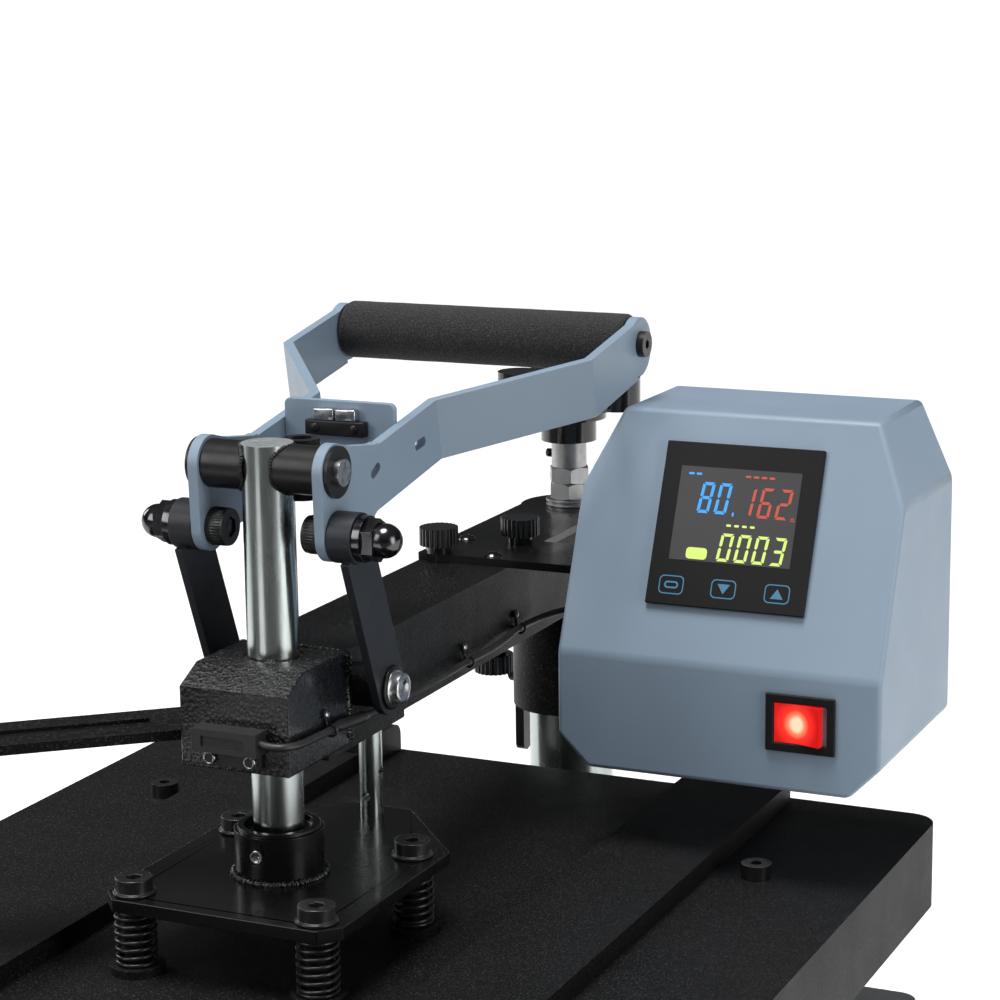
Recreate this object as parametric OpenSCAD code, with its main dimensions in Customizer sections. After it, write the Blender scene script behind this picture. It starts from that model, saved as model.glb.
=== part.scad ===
// Swing-away heat press with a toggle lever, a spring-loaded heat platen and a side control box.
// Millimetres, +Z up, front of the machine towards -Y. The origin is on the floor, at the centre of the
// footprint of the whole press, with the platen open and the arm in line over the bed.

/* [Platens] */
// Width of the platen cover
cover_w = 432; // [400:1:440]
// Depth of the platen cover, front to back
cover_d = 562; // [500:1:562]
// Height of the platen cover's side skirt
skirt_h = 43; // [36:1:44]
// Height of the two stiffening ribs on the cover
rib_h = 10; // [6:1:12]
// Height of the pad's top face above the floor
bed_top = 120; // [118:1:121]
// Thickness of the silicone pad
pad_t = 8; // [6:1:10]
// Gap between pad and heat plate when the press is open
open_gap = 47; // [46:1:50]

/* [Toggle] */
// Diameter of the ram
ram_d = 22.4; // [20:0.1:23]
// Distance from the lever's pivot to the link's upper pivot
crank = 27.4; // [26:0.1:29]
// Height between the link's two pivots
link_rise = 71.6; // [68:0.2:74]
// Distance of the lower link pivot behind the ram
link_set_back = 28; // [26:1:30]
// Length of the lever, pivot to grip
lever_len = 219; // [200:1:225]
// Width between the lever's cheeks at the grip
grip_w = 153; // [140:1:160]
// Diameter of the foam grip
grip_d = 29.4; // [26:0.2:32]

/* [Arm] */
// Width of the arm tube
arm_w = 48; // [46:1:50]
// Height of the arm tube
arm_h = 41; // [40:1:42]
// Distance from the ram to the post
reach = 320; // [316:1:324]
// Diameter of the post
post_d = 45; // [42:1:46]
// Diameter of the sleeve that turns on the post
sleeve_d = 62; // [58:1:64]

/* [Control box] */
// Width of the control box
box_w = 157.6; // [150:0.2:160]
// Depth of the control box at its foot
box_d = 113; // [110:1:118]
// Height of the control box
box_h = 165; // [160:1:168]
// Lean of the upper front face from the vertical, degrees
box_lean = 23.4; // [22:0.2:25]

/* [Hidden] */
$fn = 64;

// Clearances
run = 0.06;            // radial clearance of a running fit
gap = 0.3;             // clearance between parts that pass each other

// Levels, from the floor up
foot_h = 16;
frame_h = 30;
frame_top = foot_h + frame_h;
bed_t = 14;
bed_under = bed_top - pad_t - bed_t;
heat_t = 17;
heat_under = bed_top + open_gap;
deck = heat_under + 47;                // the cover's flat top
spring_plate_t = 6;
plate_z = deck + 28.8;                 // underside of the spring plate
plate_top = plate_z + spring_plate_t;
arm_z = deck + 90;                     // underside of the arm
arm_top = arm_z + arm_h;
bracket_t = 4;
bracket_top = arm_top + bracket_t;

// Plan positions
ram_y = -40;
post_y = ram_y + reach;
pivot_z = deck + 213.6;                // lever pivot
link_low = [ram_y + link_set_back, pivot_z - crank - link_rise];
half_arm = arm_w / 2;
half_block = 26;
block_front = ram_y - 35;
block_back = ram_y + 17;
block_top = arm_z + 42;

// Lever
cheek_in = 27.4;
cheek_t = 4.7;
cheek_out = cheek_in + cheek_t;
cheek_bar = 28;
lever_slope = 10.2;
grip_rise = 25.5;
grip_pos = [lever_len, grip_rise];
half_grip = grip_w / 2;
pin_r = 5;

// Links: a flat bar under a round boss that turns on the ear's bolt
link_x = 38;
link_t = 4;
link_w = 24;
link_end = 43.7;                       // outer end of the boss
link_bolt_r = 4;

// Spring stack
stack_x = 44;
stack_y = [ram_y - 48, ram_y + 40];
seat_h = 4;
bolt_r = 5;

// Guide rod
rod_at = [1.9, ram_y + 82.5];
rod_r = 5.4;
guide_t = 8.4;                         // thickness of the guide plate under the arm

// Control box
box_x = 65.3;
box_y = ram_y + 152.3;
box_z = deck + 46.9;
box_step = 55.6;                       // height of the upright lower front
box_back_y = box_y + box_d;
box_skin = 2;
box_top = box_z + box_h;
display_w = 76.9;
display_h = 77.6;
display_x = box_x + 79.4;
display_low = 26.3;                    // display's lower edge, measured up the sloping face
switch_w = 33;
switch_h = 27;
switch_x = box_x + 120.2;
switch_z = box_z + 33;

// ---------- small helpers ----------

module slab(low, high) {
    translate(low) cube(high - low);
}

// A flat outline in Y and Z, from x0 to x1.
module along_x(x0, x1) {
    translate([x0, 0, 0]) rotate([90, 0, 90]) linear_extrude(x1 - x0) children();
}

// A flat outline in X and Z, from y0 to y1.
module along_y(y0, y1) {
    translate([0, y1, 0]) rotate([90, 0, 0]) linear_extrude(y1 - y0) children();
}

module rod_x(x0, x1, r, y, z) {
    translate([x0, y, z]) rotate([0, 90, 0]) cylinder(h = x1 - x0, r = r);
}

module rod_y(y0, y1, r, x, z) {
    translate([x, y1, z]) rotate([90, 0, 0]) cylinder(h = y1 - y0, r = r);
}

module rod_z(z0, z1, r, x, y) {
    translate([x, y, z0]) cylinder(h = z1 - z0, r = r);
}

module both_sides() {
    children();
    mirror([1, 0, 0]) children();
}

module rounded(w, d, r) {
    square([w - 2 * r, d], center = true);
    square([w, d - 2 * r], center = true);
    for (x = [-1, 1], y = [-1, 1]) translate([x * (w / 2 - r), y * (d / 2 - r)]) circle(r);
}

module slot(length, width) {
    square([length - width, width], center = true);
    for (x = [-1, 1]) translate([x * (length - width) / 2, 0]) circle(width / 2);
}

module hex_socket(across, depth) {
    translate([0, 0, -depth]) cylinder(h = depth + 1, r = across / sqrt(3), $fn = 6);
}

// ---------- base ----------

module base_side_tubes() {
    color("#202124") both_sides() difference() {
        slab([110, -240, foot_h], [150, 321, frame_top]);
        slab([113, -241, foot_h + 3], [147, 322, frame_top - 3]);
    }
}

module base_cross_tubes() {
    color("#202124") for (span = [[-215, -155], [ram_y - 35, ram_y + 35], [post_y - 40, post_y + 30]])
        difference() {
            slab([-110, span[0], foot_h], [110, span[1], frame_top]);
            slab([-111, span[0] + 3, foot_h + 3], [111, span[1] - 3, frame_top - 3]);
        }
}

module tube_plugs() {
    color("#151515") both_sides() for (y = [-240, 321 - 12]) slab([113, y, foot_h + 3], [147, y + 12, frame_top - 3]);
}

module rubber_feet() {
    color("#111111") both_sides() for (y = [-205, 290]) {
        rod_z(0, 6, 19, 130, y);
        rod_z(6, foot_h, 16, 130, y);
    }
}

module post_socket() {
    collar_top = frame_top + 62;
    color("#1c1c1e") difference() {
        union() {
            slab([-60, post_y - 38, frame_top], [60, post_y + 38, frame_top + 8]);
            rod_z(frame_top, collar_top, 31, 0, post_y);
            for (turn = [0, 180]) translate([0, post_y, 0]) rotate([0, 0, turn]) along_y(-3, 3)
                polygon([[28, frame_top + 8], [58, frame_top + 8], [34, collar_top - 8], [28, collar_top - 8]]);
        }
        rod_z(frame_top, collar_top + 1, post_d / 2, 0, post_y);
    }
}

module post() {
    post_top = arm_top - 11;
    color("#b9bcc0") difference() {
        rod_z(frame_top, post_top, post_d / 2, 0, post_y);
        rod_z(frame_top - 1, post_top - 120, post_d / 2 - 5, 0, post_y);
        rod_z(post_top - 121, post_top + 1, 6 + run, 0, post_y);
    }
}

module bed_pedestal() {
    color("#202124") {
        for (y = [-1, 1]) slab([-70, ram_y + y * 26 - 6, frame_top], [70, ram_y + y * 26 + 6, bed_under]);
        slab([-6, ram_y - 20, frame_top], [6, ram_y + 20, bed_under]);
    }
}

module lower_platen() {
    color("#2a2b2d") translate([0, ram_y, bed_under]) linear_extrude(bed_t) rounded(cover_w - 10, cover_d - 4, 12);
}

module silicone_pad() {
    color("#7d7f80") translate([0, ram_y, bed_top - pad_t]) linear_extrude(pad_t)
        rounded(cover_w - 14, cover_d - 8, 10);
}

// ---------- height adjustment ----------

bearing_top = bracket_top + 3.5;
nut_h = 8.6;
nuts_top = bearing_top + 0.1 + 2 * nut_h;
hub_z = deck + 170;

module thrust_bearing() {
    color("#a9abae") difference() {
        union() {
            rod_z(bracket_top + 0.1, bracket_top + 1.2, 12.5, 0, post_y);
            rod_z(bracket_top + 1.2, bracket_top + 2.3, 11.4, 0, post_y);
            rod_z(bracket_top + 2.3, bearing_top, 12.5, 0, post_y);
        }
        rod_z(bracket_top, bearing_top + 1, 6 + gap, 0, post_y);
    }
}

module adjusting_screw() {
    color("#9fa3a8") rod_z(arm_z - 10, hub_z + 14, 6, 0, post_y);
}

module screw_nuts() {
    color("#b4b7ba") difference() {
        union() {
            for (i = [0, 1]) translate([0, post_y, bearing_top + 0.1 + i * nut_h]) intersection() {
                rotate(6 * i - 8) cylinder(h = nut_h, r = 11.3, $fn = 6);
                union() {
                    cylinder(h = 1.2, r1 = 9.7, r2 = 11.5);
                    translate([0, 0, 1.2]) cylinder(h = nut_h - 2.4, r = 11.5);
                    translate([0, 0, nut_h - 1.2]) cylinder(h = 1.2, r1 = 11.5, r2 = 9.7);
                }
            }
            rod_z(nuts_top, hub_z, 9.3, 0, post_y);
            translate([0, post_y, hub_z - 8]) rotate([0, -90, 0]) cylinder(h = 12, r = 2.2);
        }
        rod_z(bracket_top, hub_z + 1, 6, 0, post_y);
    }
}

module hand_wheel() {
    lobes = 6;
    color("#141414") difference() {
        union() {
            rod_z(hub_z, hub_z + 12, 14.7, 0, post_y);
            rod_z(hub_z + 12, hub_z + 18, 20, 0, post_y);
            translate([0, post_y, hub_z + 18]) linear_extrude(17) {
                circle(30);
                for (i = [0 : lobes - 1]) rotate(i * 360 / lobes) translate([28, 0]) circle(12);
            }
            rod_z(hub_z + 35, hub_z + 38, 18, 0, post_y);
        }
        rod_z(hub_z - 1, hub_z + 14, 6, 0, post_y);
    }
}

// ---------- arm ----------

module arm_tube() {
    wall = 3.5;
    color("#1d1e20") difference() {
        union() {
            slab([-half_arm, block_back, arm_z], [half_arm, post_y, arm_top]);
            both_sides() rod_x(half_arm - 1, link_x - gap, 9.5, link_low[0], link_low[1]);
            slab([-16, block_back, arm_z - guide_t], [16, ram_y + 90, arm_z + 1]);
        }
        slab([-half_arm + wall, block_back - 1, arm_z + wall], [half_arm - wall, post_y, arm_top - wall]);
        rod_z(arm_z - 1, arm_top + 1, sleeve_d / 2, 0, post_y);
        rod_z(arm_z - guide_t - 1, arm_top + 1, rod_r + gap, rod_at[0], rod_at[1]);
        for (p = screw_spots) rod_z(arm_z - 1, arm_top + 1, 3, p[0], p[1]);
        for (p = thumb_spots) rod_z(arm_top - wall - 1, arm_top + 1, 3 + run, p[0], p[1]);
    }
}

module ram_block() {
    color("#1a1a1b") difference() {
        along_x(-half_block, half_block) polygon([
            [block_front, arm_z], [block_back, arm_z], [block_back, block_top],
            [ram_y - 21, block_top], [block_front, block_top - 7]]);
        rod_z(arm_z - 1, block_top + 1, 12.6, 0, ram_y);
        rod_z(arm_z - 1, arm_z + 17, 14, 0, ram_y);
        rod_z(block_top - 18, block_top - 1, 14, 0, ram_y);
    }
}

module ram_bushes() {
    color("#a8873f") for (z = [arm_z, block_top - 18]) difference() {
        rod_z(z, z + 17, 14, 0, ram_y);
        rod_z(z - 1, z + 18, ram_d / 2 + run, 0, ram_y);
    }
}

module post_sleeve() {
    sleeve_z = deck + 26;
    color("#18181a") {
        difference() {
            union() {
                rod_z(sleeve_z, arm_top, sleeve_d / 2, 0, post_y);
                rod_x(clamp_x, -24, 7.5, clamp_y, clamp_z);
            }
            rod_z(sleeve_z - 1, arm_top + 1, post_d / 2 + run, 0, post_y);
        }
        rod_x(clamp_x - 5.6, clamp_x, 4, clamp_y, clamp_z);
        rod_x(clamp_x - 9, clamp_x - 5.6, 7, clamp_y, clamp_z);
    }
}

// Fasteners that hold the bracket plate on the arm: two dome screws and two thumbscrews.
screw_spots = [[14, ram_y + 192], [-14, ram_y + 222]];
thumb_spots = [[-14, ram_y + 190], [14, ram_y + 225]];

module top_plate() {
    tab = [ram_y + 187, ram_y + 231];
    color("#1b1b1d") difference() {
        union() {
            translate([0, 0, arm_top]) linear_extrude(bracket_t) union() {
                translate([-half_arm, tab[0]]) square([2 * half_arm, post_y - tab[0]]);
                translate([half_arm - 1, tab[0]]) square([box_x - half_arm + 1, tab[1] - tab[0]]);
                translate([0, post_y]) circle(26);
            }
            slab([box_x - 4, tab[0], arm_top - 38], [box_x, tab[1], arm_top]);
        }
        rod_z(arm_top - 1, bracket_top + 1, 6 + gap, 0, post_y);
        for (p = screw_spots) rod_z(arm_top - 1, bracket_top + 1, 3, p[0], p[1]);
        for (p = thumb_spots) rod_z(arm_top - 1, bracket_top + 1, 3 + run, p[0], p[1]);
    }
}

module plate_screws() {
    color("#d0d2d4") for (p = screw_spots) {
        rod_z(arm_z - 12, bracket_top, 3, p[0], p[1]);
        intersection() {
            translate([p[0], p[1], bracket_top - 3]) sphere(5.4);
            rod_z(bracket_top, bracket_top + 4, 7, p[0], p[1]);
        }
    }
}

module knurled_head(z, r, h) {
    ridges = 24;
    translate([0, 0, z]) linear_extrude(h) {
        circle(r - 0.7);
        for (i = [0 : ridges - 1]) rotate(i * 360 / ridges) translate([r - 0.9, 0]) circle(0.9);
    }
}

module thumbscrew(p) {
    color("#121212") translate([p[0], p[1], 0]) {
        cylinder_low = arm_top - 8;
        translate([0, 0, cylinder_low]) cylinder(h = bracket_top + 2 - cylinder_low, r = 3);
        translate([0, 0, bracket_top + 0.1]) cylinder(h = 4, r = 6.2);
        knurled_head(bracket_top + 4, 9.6, 9);
    }
}

module thumbscrew_front() {
    thumbscrew(thumb_spots[0]);
}

module thumbscrew_rear() {
    thumbscrew(thumb_spots[1]);
}

module under_arm_knob() {
    color("#121212") translate([screw_spots[0][0], screw_spots[0][1], 0]) difference() {
        union() {
            knurled_head(arm_z - 13, 9.6, 9);
            translate([0, 0, arm_z - 4]) cylinder(h = 4, r = 6.2);
        }
        translate([0, 0, arm_z - 12]) cylinder(h = 13, r = 3);
    }
}

// Flat bar welded to the block's left side, for swinging the arm by hand; two long grooves in its top.
module swing_handle() {
    aim = 220.3;                       // direction of the bar in plan, degrees
    bar_w = 34.4;
    bar_t = 4.5;
    root = [-37, ram_y - 15];
    tip = (cover_edge - bar_w / 2 + root[0]) / -cos(aim);
    color("#1a1a1b") translate([0, 0, arm_z + 14 - bar_t]) difference() {
        translate(root) rotate(aim) difference() {
            union() {
                translate([-60, -bar_w / 2, 0]) cube([60 + tip, bar_w, bar_t]);
                translate([tip, 0, 0]) cylinder(h = bar_t, r = bar_w / 2);
            }
            for (span = [[14, 92], [126, 210]]) translate([span[0], -4.5, bar_t - 1.8])
                cube([span[1] - span[0], 9, 3]);
        }
        slab([-half_block, ram_y - 100, -1], [74, ram_y + 100, bar_t + 1]);
    }
}
cover_edge = box_x + box_w;            // widest point on either side

// ---------- closing sensor, its cable and clips ----------

sensor_z = deck + 104;

module closing_sensor() {
    color("#161616") {
        difference() {
            slab([-15.3, block_front - 9, sensor_z - 4], [15.3, block_front, sensor_z + 6]);
            slab([-11, block_front - 10, sensor_z - 1.5], [9, block_front - 8, sensor_z + 3]);
        }
        slab([-13, block_front - 3, sensor_z - 11], [13, block_front, sensor_z - 4]);
    }
    color("#8f9193") for (x = [-9.6, 9.6]) rod_y(block_front - 5, block_front - 3, 2.2, x, sensor_z - 7.6);
}

cable_r = 2;
clip_x = [half_block + 3.2, half_arm + 3.2, half_arm + 3.2];
clip_y = [ram_y - 4, ram_y + 136, ram_y + 195];
clip_z = [deck + 103, deck + 97.5, deck + 99.5];

// Route of the sensor cable, from the sensor's end to the box's left wall.
cable_route = [
    [15.3, block_front - 5, sensor_z + 1], [20, block_front - 5.2, sensor_z + 0.6],
    [25, block_front - 4, sensor_z + 0.4], [28.6, block_front + 1, sensor_z + 0.3],
    [29.6, block_front + 8, sensor_z], [29.2, ram_y - 16, deck + 103.4],
    [29.2, ram_y - 9, deck + 103], [29.2, ram_y + 1, deck + 103],
    [29, ram_y + 12, deck + 101.8], [28, ram_y + 30, deck + 99.8],
    [27.4, ram_y + 55, deck + 98], [27.2, ram_y + 85, deck + 97.2],
    [27.2, ram_y + 115, deck + 97.3], [27.2, ram_y + 131, deck + 97.5],
    [27.2, ram_y + 141, deck + 97.5], [27.4, ram_y + 158, deck + 97.2],
    [27.4, ram_y + 175, deck + 98], [27.2, ram_y + 190, deck + 99.5],
    [27.2, ram_y + 200, deck + 99.5], [29, ram_y + 215, deck + 99.8],
    [34, ram_y + 229, deck + 100.4], [42, ram_y + 239, deck + 101],
    [52, ram_y + 244, deck + 101.6], [box_x, ram_y + 245, deck + 102]];

function unit(v) = v / norm(v);
function heading(path, i) = unit(path[min(i + 1, len(path) - 1)] - path[max(i - 1, 0)]);
function across(t) = unit(cross(t, [0, 0, 1]));
function ring(path, i, r, sides) = let (t = heading(path, i), u = across(t), v = cross(u, t))
    [for (k = [0 : sides - 1]) path[i] + r * (cos(k * 360 / sides) * u + sin(k * 360 / sides) * v)];

module swept_tube(path, r, sides) {
    last = len(path) - 1;
    points = [for (i = [0 : last]) each ring(path, i, r, sides)];
    walls = [for (i = [0 : last - 1], k = [0 : sides - 1]) let (n = (k + 1) % sides)
        [i * sides + k, (i + 1) * sides + k, (i + 1) * sides + n, i * sides + n]];
    caps = [[for (k = [0 : sides - 1]) k], [for (k = [sides - 1 : -1 : 0]) last * sides + k]];
    polyhedron(points = points, faces = concat(walls, caps), convexity = 6);
}

module sensor_cable() {
    color("#1b1b1b") swept_tube(cable_route, cable_r, 8);
}

module cable_clips() {
    wall = [half_block, half_arm, half_arm];
    color("#26272a") for (i = [0 : 2]) {
        difference() {
            union() {
                rod_y(clip_y[i] - 3, clip_y[i] + 3, cable_r + 1, clip_x[i], clip_z[i]);
                slab([wall[i], clip_y[i] - 3, clip_z[i]], [wall[i] + 1.2, clip_y[i] + 3, clip_z[i] + 10]);
            }
            rod_y(clip_y[i] - 4, clip_y[i] + 4, cable_r + 0.05, clip_x[i], clip_z[i]);
        }
        rod_x(wall[i] + 1.2, wall[i] + 3.2, 2.4, clip_y[i], clip_z[i] + 6.6);
    }
}

// ---------- control box ----------

function slope_y(z) = box_y + max(0, (z - box_z - box_step)) * tan(box_lean);

// The box's outer shape, shrunk by inset on every side.
module box_body(inset) {
    intersection() {
        along_x(box_x + inset, box_x + box_w - inset) polygon([
            [box_y + inset, box_z + inset], [box_back_y, box_z + inset], [box_back_y, box_top - inset],
            [slope_y(box_top) + inset, box_top - inset], [box_y + inset, box_z + box_step]]);
        translate([box_x + box_w / 2, 0, box_z + inset]) along_y(box_y, box_back_y) polygon(
            let (w = box_w / 2 - inset, h = box_h - 2 * inset)
            [[-w + 15, 0], [w - 15, 0], [w, 15], [w, h - 36], [w - 16, h], [-w + 16, h], [-w, h - 36], [-w, 15]]);
    }
}

module on_slope() {
    translate([display_x, box_y, box_z + box_step]) rotate([90 - box_lean, 0, 0]) children();
}

module box_shell() {
    color("#8198ae") difference() {
        box_body(0);
        translate([0, 0.01, 0]) box_body(box_skin);
        on_slope() translate([-34, display_low + 6, -20]) cube([68, 68, 40]);
        slab([switch_x - 14, box_y - 1, switch_z - 10.5], [switch_x + 14, box_y + 6, switch_z + 10.5]);
    }
}

module box_back() {
    color("#1d1d1f") intersection() {
        box_body(box_skin);
        slab([box_x, box_back_y - 3, box_z], [box_x + box_w, box_back_y, box_top]);
    }
}

module display_unit() {
    color("#17181a") on_slope() {
        translate([-display_w / 2, display_low, 0]) cube([display_w, display_h, 2.6]);
        translate([-34, display_low + 6, -16]) cube([68, 68, 16]);
    }
}

module switch_bezel() {
    color("#121212") difference() {
        union() {
            slab([switch_x - switch_w / 2, box_y - 2, switch_z - switch_h / 2],
                 [switch_x + switch_w / 2, box_y, switch_z + switch_h / 2]);
            slab([switch_x - 14, box_y, switch_z - 10.5], [switch_x + 14, box_y + 22, switch_z + 10.5]);
        }
        slab([switch_x - 12.6, box_y - 3, switch_z - 9.4], [switch_x + 12.6, box_y + 12, switch_z + 9.4]);
    }
}

// The paddle rocks about the upright axis of its round hub; at rest its right end is pressed in.
module rocker() {
    color("#d8201c") translate([switch_x, box_y + 4, switch_z - 9.1]) rotate(-9) {
        linear_extrude(18.2)
            polygon([[-11.2, -7.4], [0, -5.8], [11.2, -7.4], [11.6, -5], [9, 4.5], [-9, 4.5], [-11.6, -5]]);
        cylinder(h = 18.2, r = 5.2);
    }
}

module mains_inlet() {
    inlet = [box_x + 40, box_z + 40];
    color("#0f0f10") difference() {
        union() {
            slab([inlet[0] - 15, box_back_y, inlet[1] - 24], [inlet[0] + 15, box_back_y + 3, inlet[1] + 24]);
        }
        slab([inlet[0] - 11, box_back_y + 1, inlet[1] - 20], [inlet[0] + 11, box_back_y + 4, inlet[1] - 3]);
    }
}

// ---------- clamp lever on the sleeve ----------

clamp_x = -33;
clamp_z = deck + 36;
clamp_y = post_y + 16;

module clamp_lever() {
    span = [clamp_x - 5.3, clamp_x - 0.3];
    color("#151515") difference() {
        union() {
            rod_x(span[0], span[1], 8.5, clamp_y, clamp_z);
            slab([span[0], clamp_y - 4.8, clamp_z - 41], [span[1], clamp_y + 4.8, clamp_z]);
            rod_x(span[0], span[1], 4.8, clamp_y, clamp_z - 41);
        }
        rod_x(span[0] - 1, span[1] + 1, 4 + run, clamp_y, clamp_z);
    }
}

// ---------- ram and what is fixed to it ----------

ram_top = pivot_z + 10.5;

module ram() {
    color("#c9ccd0") difference() {
        rod_z(plate_top, ram_top, ram_d / 2, 0, ram_y);
        rod_x(-20, 20, pin_r, ram_y, pivot_z);
    }
}

// Two stubs welded to the ram's sides, an oiling tube behind them, and the end washers.
module cross_tube() {
    color("#1b1b1c") difference() {
        union() {
            both_sides() rod_x(7, cheek_in - 0.3, 10.5, ram_y, pivot_z);
            rod_z(pivot_z - 16, ram_top - 0.5, 8, 7, ram_y + 17);
            both_sides() rod_x(cheek_out + 0.2, cheek_out + 1.9, 11, ram_y, pivot_z);
        }
        rod_z(pivot_z - 30, pivot_z + 30, ram_d / 2, 0, ram_y);
        rod_x(-60, 60, pin_r, ram_y, pivot_z);
        rod_z(pivot_z - 9, ram_top + 1, 4.3, 7, ram_y + 17.5);
    }
}

module pivot_pin() {
    color("#c4c7ca") {
        rod_x(-cheek_out - 2, cheek_out + 2, pin_r, ram_y, pivot_z);
        both_sides() rod_x(cheek_out + 1.9, cheek_out + 4.4, 5.8, ram_y, pivot_z);
    }
}

module ram_collar() {
    top = plate_top + 22.3;
    color("#17181a") difference() {
        union() {
            rod_z(plate_top, top - 1.5, 19.5, 0, ram_y);
            rod_z(top - 1.5, top, 18, 0, ram_y);
        }
        rod_z(plate_top - 1, top + 1, ram_d / 2, 0, ram_y);
        rod_z(top - 3, top + 1, 15, 0, ram_y);
        rod_y(ram_y - 21, ram_y, 3.4, -1, plate_top + 12);
    }
}

module collar_screw() {
    color("#aeb2b5") difference() {
        rod_y(ram_y - 18.9, ram_y - 11.3, 3.4, -1, plate_top + 12);
        translate([-1, ram_y - 17.5, plate_top + 12]) rotate([90, 0, 0]) hex_socket(3, 2);
    }
}

spring_plate_outline = [[-57, -49], [-49, -58], [49, -58], [57, -49], [57, 51], [15, 97],
                        [-15, 97], [-57, 51]];

module spring_plate() {
    color("#1b1c1e") difference() {
        translate([0, ram_y, plate_z]) linear_extrude(spring_plate_t) polygon(spring_plate_outline);
        for (x = [-1, 1], y = stack_y) rod_z(plate_z - 1, plate_top + 1, bolt_r + gap, x * stack_x, y);
    }
}

// Keeps the ram from turning: it slides through the arm.
module guide_rod() {
    color("#c2c5c9") difference() {
        rod_z(plate_top, arm_z - guide_t + 2 * crank + 3, rod_r, rod_at[0], rod_at[1]);
        rod_y(rod_at[1] - 8, rod_at[1] + 8, 2, rod_at[0], deck + 45.3);
        rod_x(rod_at[0] - 8, rod_at[0] + 8, 2, rod_at[1], deck + 56.3);
    }
}

// ---------- heat platen ----------

screw_x = 161;
screw_y = 163;
heater_top = heat_under + heat_t;

// The cover's ribs, as boxes that stand in from their outlines by inset; the left one ends at the terminals.
module ribs(inset, low, high) {
    back = [ram_y + 236 - gap, ram_y + cover_d / 2 - 6];
    front = ram_y - cover_d / 2 + 6;
    slab([-140 + inset, front + inset, low], [-86 - inset, back[0] - inset, high]);
    slab([86 + inset, front + inset, low], [140 - inset, back[1] - inset, high]);
}

module platen_cover() {
    sheet = 2;
    color("#1e1f21") difference() {
        union() {
            translate([0, ram_y, deck - skirt_h]) linear_extrude(skirt_h) rounded(cover_w, cover_d, 14);
            ribs(0, deck - 1, deck + rib_h);
            for (x = [-1, 1], y = stack_y) rod_z(deck - 1, deck + seat_h, 12, x * stack_x, y);
        }
        translate([0, ram_y, deck - skirt_h - 1]) linear_extrude(skirt_h + 1 - sheet)
            rounded(cover_w - 2 * sheet, cover_d - 2 * sheet, 12);
        ribs(sheet, deck - 5, deck + rib_h - sheet);
        for (x = [-1, 1], y = stack_y) rod_z(deck - 10, deck + 10, bolt_r, x * stack_x, y);
        for (x = [-1, 1], y = [-1, 1]) rod_z(deck - 10, deck + 1, 3, x * screw_x, ram_y + y * screw_y);
    }
}

module shoulder_bolts() {
    color("#2b2c2e") for (x = [-1, 1], y = stack_y) difference() {
        union() {
            rod_z(deck - 7, plate_top + 0.1, bolt_r, x * stack_x, y);
            rod_z(plate_top + 0.1, plate_top + 1.6, 9.2, x * stack_x, y);
            rod_z(plate_top + 1.6, plate_top + 7.6, 8, x * stack_x, y);
            translate([x * stack_x, y, deck - 7]) cylinder(h = 5, r = 9.2, $fn = 6);
        }
        translate([x * stack_x, y, plate_top + 7.6]) hex_socket(6, 4);
    }
}

// Each coil spring drawn as its stack of turns.
module springs() {
    wire = 1;
    coil = 8.3;
    turns = 8;
    pitch = (plate_z - deck - seat_h - 2 * wire) / (turns - 1);
    color("#26272a") for (x = [-1, 1], y = stack_y, i = [0 : turns - 1])
        translate([x * stack_x, y, deck + seat_h + wire + i * pitch])
            rotate_extrude() translate([coil, 0]) circle(wire);
}

module cover_screws() {
    color("#1a1a1b") for (x = [-1, 1], y = [-1, 1]) difference() {
        union() {
            rod_z(heater_top - 8, deck, 3, x * screw_x, ram_y + y * screw_y);
            rod_z(deck, deck + 7, 7.2, x * screw_x, ram_y + y * screw_y);
        }
        translate([x * screw_x, ram_y + y * screw_y, deck + 7]) hex_socket(5, 4);
    }
}

module insulation() {
    color("#d8d2c0") difference() {
        translate([0, ram_y, heater_top]) linear_extrude(deck - 8 - heater_top)
            rounded(cover_w - 20, cover_d - 20, 8);
        for (x = [-1, 1], y = [-1, 1])
            rod_z(heater_top - 1, deck, 3, x * screw_x, ram_y + y * screw_y);
    }
}

module heat_plate() {
    color("#4a4c50") difference() {
        translate([0, ram_y, heat_under]) linear_extrude(heat_t) rounded(cover_w - 14, cover_d - 14, 8);
        for (x = [-1, 1], y = [-1, 1])
            rod_z(heater_top - 8, heater_top + 1, 3, x * screw_x, ram_y + y * screw_y);
    }
}

// Covers the heater's terminals, behind the left rib.
module terminal_cover() {
    y0 = ram_y + 236;
    y1 = ram_y + 279;
    color("#19191a") difference() {
        along_x(-142, -83) union() {
            translate([y0, deck]) square([y1 - y0, 9]);
            translate([y0, deck]) square([y1 - y0 - 7, 16]);
            translate([y1 - 7, deck + 9]) circle(7);
        }
        slab([-140, y0 + 2, deck - 1], [-85, y1 - 9, deck + 14]);
    }
}

// ---------- lever ----------

// Height of the bar's centre line at the lever's pivot: the bar runs a little below the grip's axis.
bar_mid = grip_rise - 2.6 - lever_len * tan(lever_slope);

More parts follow.
